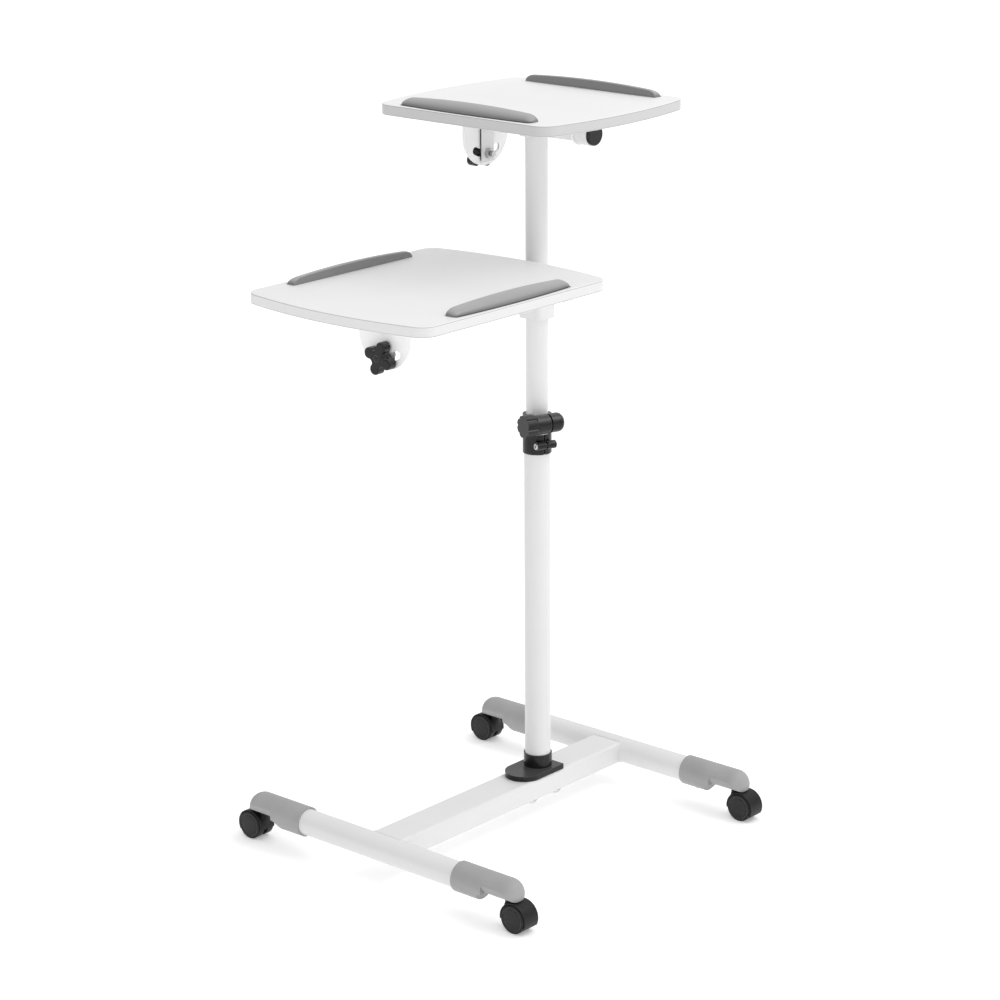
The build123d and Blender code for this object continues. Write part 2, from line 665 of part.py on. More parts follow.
TAB_SEAT = YOKE_HALF - SHEET - RUB_GAP
TAB_GRIP = 2 * SHEET + 2 * RUB_GAP
CAP_SEAT = YOKE_HALF + RUB_GAP
END_CAP_SEAT = CAP_SEAT + END_BOSS_LENGTH + SEAT_GAP
PLUG_GRIP = END_CAP_SEAT - YOKE_HALF + SHEET + RUB_GAP + TUBE_PLUG

# Upper shelf on the top of the column
build_board("upper_board", UPPER_TILT, UPPER_LENGTH, UPPER_WIDTH, UPPER_BOW)
build_stopper("upper_front_stopper", UPPER_TILT, -1, UPPER_WIDTH)
build_stopper("upper_rear_stopper", UPPER_TILT, 1, UPPER_WIDTH)
build_yoke("upper_yoke", UPPER_TILT, PIVOT_SCREW_RADIUS + TURN_GAP)
build_tilt_tube("upper_tilt_tube", UPPER_TILT, TAB_SEAT, True)
build_tilt_nut("upper_tilt_nut", UPPER_TILT)
build_lobe_knob("upper_tilt_knob", UPPER_TILT, UPPER_LOBE_TURN)
build_pivot_cap(
    "upper_pivot_cap_left", UPPER_TILT, CAP_SEAT, -1, PIVOT_CAP_RADIUS, PIVOT_CAP_LENGTH, TAB_GRIP
)
build_pivot_cap(
    "upper_pivot_cap_right", UPPER_TILT, END_CAP_SEAT, 1, END_CAP_RADIUS, END_CAP_LENGTH, PLUG_GRIP
)
with BuildPart() as upper_pivot_boss:
    with BuildSketch(across(UPPER_TILT, CAP_SEAT)):
        Circle(END_BOSS_RADIUS)
        Circle(PIVOT_SCREW_RADIUS + SEAT_GAP, mode=Mode.SUBTRACT)
    extrude(amount=END_BOSS_LENGTH)
save(upper_pivot_boss.part, "upper_pivot_boss")

# Lower shelf on its arm, in front of the column
ARM_END = LOWER_REACH - COLLAR_Y / 2
build_board("lower_board", LOWER_TILT, LOWER_LENGTH, LOWER_WIDTH, LOWER_BOW)
build_stopper("lower_right_stopper", LOWER_TILT, -1, LOWER_WIDTH)
build_stopper("lower_left_stopper", LOWER_TILT, 1, LOWER_WIDTH)
build_yoke("lower_yoke", LOWER_TILT, TILT_TUBE_OD / 2 + TURN_GAP)
build_tilt_tube("lower_tilt_tube", LOWER_TILT, ARM_END, False)
build_tilt_nut("lower_tilt_nut", LOWER_TILT)
build_lobe_knob("lower_tilt_knob", LOWER_TILT, LOWER_LOBE_TURN)
build_pivot_cap(
    "lower_pivot_cap", LOWER_TILT, CAP_SEAT, -1, PIVOT_CAP_RADIUS, PIVOT_CAP_LENGTH, TAB_GRIP
)

# Collar that carries the lower shelf on the column
knob_axis = Plane(origin=(0, COLUMN_Y, COLLAR_KNOB_Z), x_dir=(-1, 0, 0), z_dir=(0, 1, 0))
with BuildPart() as arm_collar:
    with BuildSketch(level(COLUMN, COLLAR_FOOT)):
        RectangleRounded(COLLAR_X, COLLAR_Y, COLLAR_ROUND)
        Circle(UPPER_TUBE_OD / 2 + SLIDE_GAP, mode=Mode.SUBTRACT)
    extrude(amount=COLLAR_HEIGHT)
    with BuildSketch(knob_axis):
        Circle(COLLAR_SCREW_RADIUS + TURN_GAP)
    extrude(amount=COLLAR_Y, mode=Mode.SUBTRACT)
save(arm_collar.part, "arm_collar")

build_fluted_knob(
    "collar_knob",
    knob_axis.offset(COLLAR_KNOB_REACH),
    COLLAR_KNOB_RADIUS,
    COLLAR_KNOB_LENGTH,
    COLLAR_KNOB_FLUTES,
    COLLAR_SCREW_RADIUS,
    COLLAR_KNOB_REACH - UPPER_TUBE_OD / 2 - 2 * SLIDE_GAP,
)
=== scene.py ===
import json
from math import cos, pi, radians, sin, sqrt

import bpy
from mathutils import Euler, Matrix, Vector


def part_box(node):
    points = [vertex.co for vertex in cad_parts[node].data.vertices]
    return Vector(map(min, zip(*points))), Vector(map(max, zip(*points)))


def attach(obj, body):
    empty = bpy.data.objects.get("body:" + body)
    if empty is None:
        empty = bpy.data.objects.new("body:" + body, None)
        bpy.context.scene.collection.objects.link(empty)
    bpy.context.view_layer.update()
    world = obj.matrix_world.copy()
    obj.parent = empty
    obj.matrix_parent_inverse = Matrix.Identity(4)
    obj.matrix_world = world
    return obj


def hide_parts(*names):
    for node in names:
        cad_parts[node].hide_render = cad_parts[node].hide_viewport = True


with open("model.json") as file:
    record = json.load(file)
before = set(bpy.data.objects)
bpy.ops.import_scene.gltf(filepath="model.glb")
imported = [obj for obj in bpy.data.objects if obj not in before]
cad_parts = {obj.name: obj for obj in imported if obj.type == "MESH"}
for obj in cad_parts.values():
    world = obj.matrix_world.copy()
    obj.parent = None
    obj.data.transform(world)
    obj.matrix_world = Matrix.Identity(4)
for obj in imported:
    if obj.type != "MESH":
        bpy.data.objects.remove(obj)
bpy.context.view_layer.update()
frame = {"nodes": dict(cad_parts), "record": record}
nodes = frame["nodes"]

# Camera, from the photograph's own angle; its place is given from the foot of the column
CAMERA_FROM_COLUMN = (2.7269, -3.2083, 1.7652)
CAMERA_YAW = 41.097
CAMERA_PITCH = 16.924
CAMERA_ROLL = -0.343
CAMERA_LENS = 109.5
CAMERA_REACH = 100.0
SENSOR_WIDTH = 36.0

# Light: the world's strength by direction, and two lamps
WHITE = (1.0, 1.0, 1.0, 1.0)
HORIZON_LIGHT = 0.46
ZENITH_LIGHT = 1.18
SIDE_LIGHT = 0.27
BRIGHT_SIDE = (0.75, 0.66, 0.0)
LAMP_TARGET = (0.0, 0.0, 0.6)
KEY_PLACE = (2.4, 1.6, 4.2)
KEY_SIZE = 2.2
KEY_POWER = 45.0
FILL_PLACE = (2.0, -6.4, 0.9)
FILL_SIZE = 4.5
FILL_POWER = 56.0

# Floor
FLOOR_SIZE = 60.0
FLOOR_TONE = 0.95
FLOOR_SPREAD = 0.005
FLOOR_ROUGHNESS = 0.9
FLOOR_GLOW = 0.24

# Materials: the part of a noise that counts, and edges that look rounded and take wear and painted
# highlight
NOISE_LOW = 0.3
NOISE_HIGH = 0.7
CLOUD_SHADE = 0.97
SPECK_SHARE = 0.12
SPECK_GLOSS = 0.01
PORE_GLOSS = 0.02
BEVEL_SAMPLES = 4
EDGE_ROUND = 0.0006
WEAR_AND_HIGHLIGHT_REACH = 1.5 * EDGE_ROUND
WEAR_AND_HIGHLIGHT_FULL = 0.80
WEAR_AND_HIGHLIGHT_NONE = 0.98

# Board edges: how steep a face is to take the painted edge shade, and the two seams round it
EDGE_SHADE_FULL = 0.5
EDGE_SHADE_NONE = 0.8
SEAM_INSET = 0.0011
SEAM_HALF = 0.0002
SEAM_FADE = 0.0006
SEAM_STRENGTH = 0.75
SEAM_TONE = 0.36

# Angles in degrees past which an edge of a piece stays sharp
PLAIN_CREASE = 35.0
ROUND_CREASE = 40.0
BEAD_CREASE = 60.0
BOLT_CREASE = 25.0
THREAD_CREASE = 20.0

# Directions, and how near to upright one is before x takes the place of z to find its sides
AXES = ((1, 0, 0), (0, 1, 0))
DOWN = (0, 0, -1)
NEAR_UPRIGHT = 0.9

# Sizes of the CAD that the added pieces sit on, in metres and degrees
TILT_TUBE_RADIUS = 0.013
MAST_RADIUS = 0.016
SHEET = 0.003
SADDLE_FLOOR = 0.002
SLOT_RADIUS = 0.048
BEAM_CORNER = 0.004
COLLAR_SCREW_RADIUS = 0.005
COLLAR_KNOB_LENGTH = 0.018
CLAMP_TURN = -19.0
CLAMP_BORE = 0.0191
CLAMP_BAND = 0.0285
PINCH_OUT = 0.024
PINCH_RISE = 0.015
PINCH_HALF = 0.015
PINCH_SHANK = 0.0025
PINCH_HEAD = 0.0045
CAP_SLEEVE = 0.041

# Weld beads: radii, spacing of their points, and a ripple as shares of the radius
LEG_BEAD = 0.0013
ARM_BEAD = 0.0021
TUBE_BEAD = 0.0017
BEAD_LIFT = 0.0003
BEAD_SIDES = 8
BEAD_STEP = 0.0011
BEAM_CORNER_STEPS = 6
TILT_BEAD_STEPS = 72
MAST_BEAD_STEPS = 84
BEAD_FLOOR = 0.86
BEAD_RIPPLE = 0.14
BEAD_RIPPLE_TURN = 1.05
BEAD_DRIFT = 0.05
BEAD_DRIFT_TURN = 0.31

# Pan screws: rim and flat as shares of height and radius, then the recess as shares of both
PAN_RIM = 0.35
PAN_FLAT = 0.62
PAN_STEPS = 6
PAN_RECESS = ((0.45, 1.0), (0.30, 0.45), (0.05, 0.35))
SCREW_SIDES = 24
YOKE_SCREW_RUNS = (-0.060, 0.052)
YOKE_SCREW_SIDE = 0.021
YOKE_SCREW_RADIUS = 0.0042
YOKE_SCREW_HEIGHT = 0.0026
STOP_SCREW_RUN = 0.075
STOP_SCREW_RADIUS = 0.0038
STOP_SCREW_HEIGHT = 0.0022
CAP_SCREW_RADIUS = 0.0040
CAP_SCREW_HEIGHT = 0.0022
CAP_SCREW_SINK = 0.0001

# Bolts under the beam; outlines in shares of the half width across flats, washer heights in metres
BEAM_BOLT_SIDE = 0.019
BEAM_BOLT_RUNS = (-0.036, 0.018)
BEAM_BOLT_FLAT = 0.0050
BEAM_BOLT_HEIGHT = 0.0042
WASHER_OUTLINE = ((1.55, 0.0), (1.6, 0.0002), (1.6, 0.0010), (1.5, 0.0013), (1.0, 0.0013))
WASHER_SIDES = 32
BOLT_HEAD_SEAT = 0.0012
BOLT_HEAD_SIDE = 0.82
BOLT_HEAD_END = ((0.96, 1.0), (0.30, 1.0))
HEXAGON = 6

# Threads: rows of points to a turn, depth as a share of the pitch, then the studs and the collar screw
THREAD_SIDES = 28
THREAD_ROWS = 8
THREAD_DEPTH = 0.55
STUD_RADIUS = 0.00445
STUD_PITCH = 0.00125
STUD_SINK = 0.0002
STUD_EXTRA = 0.0008
COLLAR_THREAD_PROUD = 0.00025
COLLAR_THREAD_PITCH = 0.0015
COLLAR_THREAD_SINK = 0.002
COLLAR_THREAD_EXTRA = 0.0025

# Painted shade: dark lines on the tabs' edges, up and down from the pivot and in from the tab's face
TAB_LINE_TOP = -0.002
TAB_LINE_FOOT = -SLOT_RADIUS - 0.009
TAB_LINE_NEAR = TILT_TUBE_RADIUS - 0.0001
TAB_LINE_FAR = TILT_TUBE_RADIUS + 0.00015
TAB_LINE_START = 0.0001
TAB_LINE_END = 0.0021

# Knob faces: ring and dish as shares of the radius, with heights in metres
DISH_OUTLINE = (
    (1.0, -0.0003), (0.985, 0.0003), (0.95, 0.0006), (0.90, 0.0006),
    (0.86, 0.0003), (0.82, 0.0001), (0.50, 0.0002), (0.05, 0.0003),
)
DISH_SIDES = 56
TILT_KNOB_DISH = 0.0055
COLLAR_KNOB_DISH = 0.0140

# Stoppers
STOP_RADIUS = 0.0266
STOP_END_RADIUS = 0.0225
STOP_END_ROUND = 0.006
STOP_NOSE_LENGTH = 0.015
STOP_NOSE_DROP = 0.0072
STOP_REACH = 0.94
STOP_AXIS_DROP = 0.0132
STOP_SINK = 0.0013
STOP_SHADOW_GAP = 0.0010
STOP_UNDERCUT = 0.0018
STOP_TOP_ROUND = 0.0022
STOP_CORNER_SHARE = 0.6
STOP_FOOT_SHARE = 0.5
STOP_BODY_ROWS = 22
STOP_NOSE_ROWS = 14
STOP_FACE_STEPS = 4
STOP_CORNER_STEPS = 8
STOP_SIDE_STEPS = 20
STOP_SIDES = {"upper": ("front", "rear"), "lower": ("left", "right")}

# Pinch screw: rim and socket wall as shares of radius and height; the nut's heights are in metres
SOCKET_SHARE = 0.56
SOCKET_RIM = ((1.0, 0.0), (1.0, 0.80), (0.93, 0.96), (0.84, 1.0))
SOCKET_WALL = ((1.06, 1.0), (1.0, 0.96), (1.0, 0.30), (0.1, 0.22))
SOCKET_SIDES = 48
NUT_THICKNESS = 0.0023
NUT_OUTLINE = ((0.90, 0.0), (1.0, 0.0004), (1.0, 0.0019), (0.88, NUT_THICKNESS))
PINCH_TIP_START = 0.0015
PINCH_TIP_LENGTH = 0.0010
PINCH_PITCH = 0.0008

# Painted shade in the clamp's slit: a dark strip, in from the bore and to either side of the slit's middle
SLIT_SHADE_LIFT = 0.0003
SLIT_SHADE_INNER = CLAMP_BORE - 0.00007
SLIT_SHADE_OUTER = CLAMP_BORE - 0.00002
SLIT_SHADE_HALF_TURN = 8.0
SLIT_SHADE_STEPS = 12

# Outside of a wheel, from its rim to its crowned middle
WHEEL_OUTLINE = (
    (0.0178, -0.0004), (0.0176, 0.0003), (0.0170, 0.0007), (0.0163, 0.0006),
    (0.0158, 0.0001), (0.0155, -0.0001), (0.0152, 0.0002), (0.0140, 0.0004),
    (0.0100, 0.0006), (0.0050, 0.0007), (0.0004, 0.0007),
)
WHEEL_SIDES = 64


def middle(node):
    """The middle of a CAD node's box."""
    low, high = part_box(node)
    return (Vector(low) + Vector(high)) / 2


def top_of(node):
    """The height of a CAD node's top."""
    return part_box(node)[1][2]


def foot_of(node):
    """The height of a CAD node's foot."""
    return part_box(node)[0][2]


COLUMN = middle("lower_tube")
UPPER_PIVOT = Vector((0.0, middle("upper_tilt_tube").y, top_of("upper_tilt_tube") - TILT_TUBE_RADIUS))
LOWER_YOKE = middle("lower_yoke")
LOWER_PIVOT = Vector((LOWER_YOKE.x, LOWER_YOKE.y, top_of("lower_tilt_tube") - TILT_TUBE_RADIUS))

# Each shelf with its pivot, the axis that it tilts about and the body that carries its tilt tube
SHELVES = (("upper", UPPER_PIVOT, 0, "mast"), ("lower", LOWER_PIVOT, 1, "carriage"))


# Camera, lamps, world and floor
def make_camera():
    """A long lens that looks down on the stand from its front right corner."""
    data = bpy.data.cameras.new("photo_camera")
    data.lens = CAMERA_LENS
    data.sensor_width = SENSOR_WIDTH
    data.clip_end = CAMERA_REACH
    camera = bpy.data.objects.new("photo_camera", data)
    aim = Euler((radians(90.0 - CAMERA_PITCH), 0.0, radians(CAMERA_YAW))).to_matrix()
    aim = aim @ Matrix.Rotation(radians(CAMERA_ROLL), 3, "Z")
    place = Vector((COLUMN.x, COLUMN.y, 0.0)) + Vector(CAMERA_FROM_COLUMN)
    camera.matrix_world = Matrix.Translation(place) @ aim.to_4x4()
    bpy.context.scene.collection.objects.link(camera)
    bpy.context.scene.camera = camera


def make_area_light(name, place, size, power):
    """A soft square lamp that points at the stand."""
    data = bpy.data.lights.new(name, "AREA")
    data.size = size
    data.energy = power
    light = bpy.data.objects.new(name, data)
    direction = Vector(LAMP_TARGET) - Vector(place)
    light.matrix_world = Matrix.Translation(place) @ direction.to_track_quat("-Z", "Y").to_matrix().to_4x4()
    bpy.context.scene.collection.objects.link(light)


def make_world():
    """Soft white light from all round, brighter towards the zenith and towards one side."""
    world = bpy.data.worlds.new("studio")
    world.use_nodes = True
    tree = world.node_tree
    background = tree.nodes["Background"]
    background.inputs["Color"].default_value = WHITE
    direction = tree.nodes.new("ShaderNodeTexCoord").outputs["Generated"]
    split = tree.nodes.new("ShaderNodeSeparateXYZ")
    tree.links.new(direction, split.inputs["Vector"])
    rise = add_range(tree, split.outputs["Z"], 0.0, 1.0, HORIZON_LIGHT, ZENITH_LIGHT)
    toward = tree.nodes.new("ShaderNodeVectorMath")
    toward.operation = "DOT_PRODUCT"
    toward.inputs[1].default_value = BRIGHT_SIDE
    tree.links.new(direction, toward.inputs[0])
    side = add_range(tree, toward.outputs["Value"], -1.0, 1.0, -SIDE_LIGHT, SIDE_LIGHT)
    tree.links.new(add_math(tree, "ADD", rise, side), background.inputs["Strength"])
    bpy.context.scene.world = world
    bpy.context.scene.view_settings.view_transform = "Standard"


def make_floor():
    """A wide pale floor."""
    mesh = bpy.data.meshes.new("floor")
    half = FLOOR_SIZE / 2
    corners = [(-half, -half, 0), (half, -half, 0), (half, half, 0), (-half, half, 0)]
    mesh.from_pydata(corners, [], [(0, 1, 2, 3)])
    floor = bpy.data.objects.new("floor", mesh)
    bpy.context.scene.collection.objects.link(floor)
    material, tree, shader, place = new_material("pale_floor")
    cloud = add_noise(tree, place, scale=1.5, detail=2.0)
    color = add_tint(tree, cloud, grey(FLOOR_TONE - FLOOR_SPREAD), grey(FLOOR_TONE + FLOOR_SPREAD))
    tree.links.new(color, shader.inputs["Base Color"])
    shader.inputs["Roughness"].default_value = FLOOR_ROUGHNESS
    shader.inputs["Emission Color"].default_value = WHITE
    shader.inputs["Emission Strength"].default_value = FLOOR_GLOW
    mesh.materials.append(material)


# Material helpers
def grey(tone):
    """A neutral colour."""
    return (tone, tone, tone)


def new_material(name):
    """A material with its shader and an object-space position to build on."""
    material = bpy.data.materials.new(name)
    material.use_nodes = True
    tree = material.node_tree
    shader = tree.nodes["Principled BSDF"]
    place = tree.nodes.new("ShaderNodeTexCoord").outputs["Object"]
    return material, tree, shader, place


def add_noise(tree, place, scale, detail):
    """A soft noise in space."""
    noise = tree.nodes.new("ShaderNodeTexNoise")
    noise.inputs["Scale"].default_value = scale
    noise.inputs["Detail"].default_value = detail
    tree.links.new(place, noise.inputs["Vector"])
    return noise.outputs["Fac"]


def add_range(tree, source, from_low, from_high, low, high):
    """Spreads part of a value's range over another range."""
    spread = tree.nodes.new("ShaderNodeMapRange")
    spread.inputs["From Min"].default_value = from_low
    spread.inputs["From Max"].default_value = from_high
    spread.inputs["To Min"].default_value = low
    spread.inputs["To Max"].default_value = high
    tree.links.new(source, spread.inputs["Value"])
    return spread.outputs["Result"]


def spread_noise(tree, noise, low, high):
    """Spreads a noise over a range."""
    return add_range(tree, noise, NOISE_LOW, NOISE_HIGH, low, high)


def add_tint(tree, noise, dark, light):
    """Turns a noise into a small change of colour."""
    ramp = tree.nodes.new("ShaderNodeValToRGB")
    ramp.color_ramp.elements[0].position = NOISE_LOW
    ramp.color_ramp.elements[0].color = (*dark, 1.0)
    ramp.color_ramp.elements[1].position = NOISE_HIGH
    ramp.color_ramp.elements[1].color = (*light, 1.0)
    tree.links.new(noise, ramp.inputs["Fac"])
    return ramp.outputs["Color"]


def add_mix(tree, factor, first, second):
    """Mixes a colour socket with a fixed colour by a factor socket."""
    mix = tree.nodes.new("ShaderNodeMix")
    mix.data_type = "RGBA"
    tree.links.new(factor, mix.inputs["Factor"])
    tree.links.new(first, mix.inputs["A"])
    mix.inputs["B"].default_value = (*second, 1.0)
    return mix.outputs["Result"]


def add_math(tree, operation, first, second):
    """One step of arithmetic on a socket and a socket or number."""
    step = tree.nodes.new("ShaderNodeMath")
    step.operation = operation
    tree.links.new(first, step.inputs[0])
    if isinstance(second, float):
        step.inputs[1].default_value = second
    else:
        tree.links.new(second, step.inputs[1])
    return step.outputs["Value"]


def add_bevel(tree, radius):
    """The surface's direction as if its edges were rounded."""
    bevel = tree.nodes.new("ShaderNodeBevel")
    bevel.samples = BEVEL_SAMPLES
    bevel.inputs["Radius"].default_value = radius
    return bevel.outputs["Normal"]


def add_bump(tree, shader, source, depth, strength, edge_round):
    """Fine grain on the surface, over edges that look slightly rounded."""
    bump = tree.nodes.new("ShaderNodeBump")
    bump.inputs["Distance"].default_value = depth
    bump.inputs["Strength"].default_value = strength
    tree.links.new(source, bump.inputs["Height"])
    tree.links.new(bump.outputs["Normal"], shader.inputs["Normal"])
    if edge_round > 0.0:
        tree.links.new(add_bevel(tree, edge_round), bump.inputs["Normal"])


def add_wear_and_highlight_edges(tree):
    """A mask that is high along edges, where the rounded direction leaves the true one, for wear and
    painted edge highlights.
    """
    compare = tree.nodes.new("ShaderNodeVectorMath")
    compare.operation = "DOT_PRODUCT"
    tree.links.new(add_bevel(tree, WEAR_AND_HIGHLIGHT_REACH), compare.inputs[0])
    tree.links.new(tree.nodes.new("ShaderNodeNewGeometry").outputs["Normal"], compare.inputs[1])
    return add_range(tree, compare.outputs["Value"], WEAR_AND_HIGHLIGHT_FULL, WEAR_AND_HIGHLIGHT_NONE, 1.0, 0.0)


def add_facing(tree):
    """How far the surface looks up: one on a level top, nothing on an upright side."""
    facing = tree.nodes.new("ShaderNodeSeparateXYZ")
    tree.links.new(tree.nodes.new("ShaderNodeTexCoord").outputs["Normal"], facing.inputs["Vector"])
    return facing.outputs["Z"]


def add_top_highlight_mask(tree, start):
    """A mask for a painted highlight on tops: it rises from a slope to full where the surface looks
    straight up.
    """
    return add_range(tree, add_facing(tree), start, 1.0, 0.0, 1.0)


# Materials
def make_finish(name, dark, light, wear_and_highlight, rough, cloud_scale, grain_scale, grain_depth, grain, top=None,
                shine=0.5):
    """A painted or moulded surface: colour clouds, patchy gloss, lighter edges for wear and painted
    highlight, a fine grain, and a painted highlight on tops where a top colour is given.
    """
    material, tree, shader, place = new_material(name)
    cloud = add_noise(tree, place, scale=cloud_scale, detail=4.0)
    color = add_tint(tree, cloud, dark, light)
    # Painted highlight: where a top colour is given, surfaces that look up take it.
    if top is not None:
        color = add_mix(tree, add_top_highlight_mask(tree, start=0.2), color, top)
    # Edges take a lighter colour: wear, and on the black plastic partly a painted highlight.
    color = add_mix(tree, add_wear_and_highlight_edges(tree), color, wear_and_highlight)
    tree.links.new(color, shader.inputs["Base Color"])
    specks = add_noise(tree, place, scale=grain_scale * SPECK_SHARE, detail=3.0)
    patches = spread_noise(tree, cloud, rough[0], rough[1])
    gloss = add_math(tree, "ADD", patches, spread_noise(tree, specks, -SPECK_GLOSS, SPECK_GLOSS))
    tree.links.new(gloss, shader.inputs["Roughness"])
    shader.inputs["Specular IOR Level"].default_value = shine
    grains = add_noise(tree, place, scale=grain_scale, detail=2.0)
    add_bump(tree, shader, grains, grain_depth, grain, EDGE_ROUND)
    return material


def make_powder_coat(name, dark, light, wear_and_highlight):
    """White powder coat on steel."""
    return make_finish(
        name, grey(dark), grey(light), grey(wear_and_highlight), rough=(0.30, 0.38),
        cloud_scale=9.0, grain_scale=750.0, grain_depth=0.0003, grain=0.10,
    )


def make_moulded(name, side, top, roughness):
    """Smooth moulded plastic with fine pores, paler where it looks up as a painted highlight."""
    material, tree, shader, place = new_material(name)
    pores = add_noise(tree, place, scale=900.0, detail=2.0)
    color = add_tint(tree, pores, grey(side * CLOUD_SHADE), grey(side))
    # Painted highlight: surfaces that look up take the paler top tone.
    color = add_mix(tree, add_top_highlight_mask(tree, start=0.3), color, grey(top))
    tree.links.new(color, shader.inputs["Base Color"])
    gloss = spread_noise(tree, pores, roughness - PORE_GLOSS, roughness)
    tree.links.new(gloss, shader.inputs["Roughness"])
    add_bump(tree, shader, pores, depth=0.0001, strength=0.04, edge_round=0.0)
    return material


def make_laminate(name, board, face, edge_shade):
    """White laminate whose steep edges take a darker tone, a painted shade: two fine seams run round the
    board's edge.
    """
    foot = foot_of(board)
    thickness = top_of(board) - foot
    material, tree, shader, place = new_material(name)
    cloud = add_noise(tree, place, scale=5.0, detail=4.0)
    color = add_tint(tree, cloud, grey(face * CLOUD_SHADE), grey(face))
    # Painted shade: faces that stand steep take the darker edge tone.
    level = add_math(tree, "ABSOLUTE", add_facing(tree), 0.0)
    color = add_mix(tree, add_range(tree, level, EDGE_SHADE_FULL, EDGE_SHADE_NONE, 1.0, 0.0), color, grey(edge_shade))
    split = tree.nodes.new("ShaderNodeSeparateXYZ")
    tree.links.new(place, split.inputs["Vector"])
    height = add_range(tree, split.outputs["Z"], foot, foot + thickness, 0.0, thickness)
    for seam_height in (SEAM_INSET, thickness - SEAM_INSET):
        away = add_math(tree, "ABSOLUTE", add_math(tree, "SUBTRACT", height, seam_height), 0.0)
        seam = add_range(tree, away, SEAM_HALF, SEAM_FADE, SEAM_STRENGTH, 0.0)
        color = add_mix(tree, seam, color, grey(SEAM_TONE))
    tree.links.new(color, shader.inputs["Base Color"])
    tree.links.new(spread_noise(tree, cloud, low=0.36, high=0.44), shader.inputs["Roughness"])
    grain = add_noise(tree, place, scale=1300.0, detail=3.0)
    add_bump(tree, shader, grain, depth=0.00012, strength=0.12, edge_round=0.0008)
    return material


def make_steel(name, dark, light):
    """Zinc plated steel with a fine change of gloss."""
    material, tree, shader, place = new_material(name)
    shader.inputs["Metallic"].default_value = 1.0
    cloud = add_noise(tree, place, scale=420.0, detail=4.0)
    tree.links.new(add_tint(tree, cloud, grey(dark), grey(light)), shader.inputs["Base Color"])
    tree.links.new(spread_noise(tree, cloud, low=0.26, high=0.44), shader.inputs["Roughness"])
    grain = add_noise(tree, place, scale=1500.0, detail=2.0)
    add_bump(tree, shader, grain, depth=0.0001, strength=0.2, edge_round=0.0004)
    return material


finishes = {
    "white_paint": make_powder_coat("white_powder_coat", dark=0.71, light=0.735, wear_and_highlight=0.78),
    # The upper board's laminate: its edge tone is the deepest painted shade.
    "white_board": make_laminate("white_laminate", "upper_board", face=0.88, edge_shade=0.56),
    # The stoppers' top tone is a painted highlight on their up-facing surfaces.
    "stopper_grey": make_moulded("grey_stopper_plastic", side=0.22, top=0.37, roughness=0.30),
    "cap_grey": make_finish(
        "light_grey_plastic", dark=grey(0.32), light=grey(0.36), wear_and_highlight=grey(0.42), rough=(0.42, 0.52),
        cloud_scale=24.0, grain_scale=1500.0, grain_depth=0.0003, grain=0.25,
    ),
    # Black plastic: its top colour is a painted highlight on surfaces that look up, and its lighter edges
    # are partly wear and partly a painted highlight.
    "black_plastic": make_finish(
        "black_plastic", dark=(0.006, 0.006, 0.007), light=(0.010, 0.010, 0.011), wear_and_highlight=grey(0.12),
        rough=(0.17, 0.25), cloud_scale=40.0, grain_scale=900.0, grain_depth=0.0006, grain=0.20,
        top=(0.055, 0.055, 0.057), shine=0.30,
    ),
    "steel": make_steel("zinc_plated_steel", dark=0.468, light=0.60),
}
# The lower board's laminate: a slightly darker face, and a lighter painted shade on its edges than the
# upper board's.
lower_laminate = make_laminate("white_laminate_lower", "lower_board", face=0.84, edge_shade=0.73)
# A brighter copy of the white powder coat for the yokes: painted light on them under the boards' shade.
yoke_painted_light_coat = make_powder_coat("white_powder_coat_yoke_painted_light", dark=0.88, light=0.90, wear_and_highlight=0.90)
caster_black = make_finish(
    "black_caster_nylon", dark=(0.005, 0.005, 0.006), light=(0.009, 0.009, 0.010), wear_and_highlight=grey(0.04),
    rough=(0.32, 0.44), cloud_scale=40.0, grain_scale=900.0, grain_depth=0.0005, grain=0.40,
    shine=0.24,
)


def dress_nodes():
    """Gives each CAD node the finish of its material slot, or one of its own."""
    for entry in frame["record"]["subparts"]:
        mesh = nodes[entry["node"]].data
        mesh.materials.clear()
        finish = finishes[entry["material_slot"]]
        if entry["node"] == "lower_board":
            finish = lower_laminate
        # The yokes take the brighter coat, painted light under the boards.
        if entry["node"].endswith("_yoke"):
            finish = yoke_painted_light_coat
        if entry["node"].startswith("caster_"):
            finish = caster_black
        mesh.materials.append(finish)


# Mesh helpers; a shape is a list of points and a list of faces
def add_piece(name, shape, body, slot, crease=PLAIN_CREASE):
    """Makes a smooth mesh piece with its finish that moves with a body."""
    points, faces = shape
    mesh = bpy.data.meshes.new(name)
    mesh.from_pydata([tuple(p) for p in points], [], faces)
    mesh.update()
    mesh.shade_smooth()
    mesh.set_sharp_from_angle(angle=radians(crease))
    piece = bpy.data.objects.new(name, mesh)
    bpy.context.scene.collection.objects.link(piece)
    mesh.materials.append(finishes[slot])
    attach(piece, body)
    return piece


def spokes(direction, count):
    """A direction as a unit vector, and unit vectors all round it."""
    along = Vector(direction).normalized()
    helper = Vector((0, 0, 1)) if abs(along.z) < NEAR_UPRIGHT else Vector((1, 0, 0))
    side = helper.cross(along).normalized()
    other = along.cross(side)
    angles = [2 * pi * step / count for step in range(count)]
    return along, [side * cos(angle) + other * sin(angle) for angle in angles]


def stack_faces(rings, sides):
    """Faces of a stack of rings, closed at its foot and its top."""
    faces = []
    for ring in range(rings - 1):
        low, high = ring * sides, (ring + 1) * sides
        for step in range(sides):
            turn = (step + 1) % sides
            faces.append((low + step, low + turn, high + turn, high + step))
    last = (rings - 1) * sides
    faces.append(tuple(reversed(range(sides))))
    faces.append(tuple(range(last, last + sides)))
    return faces


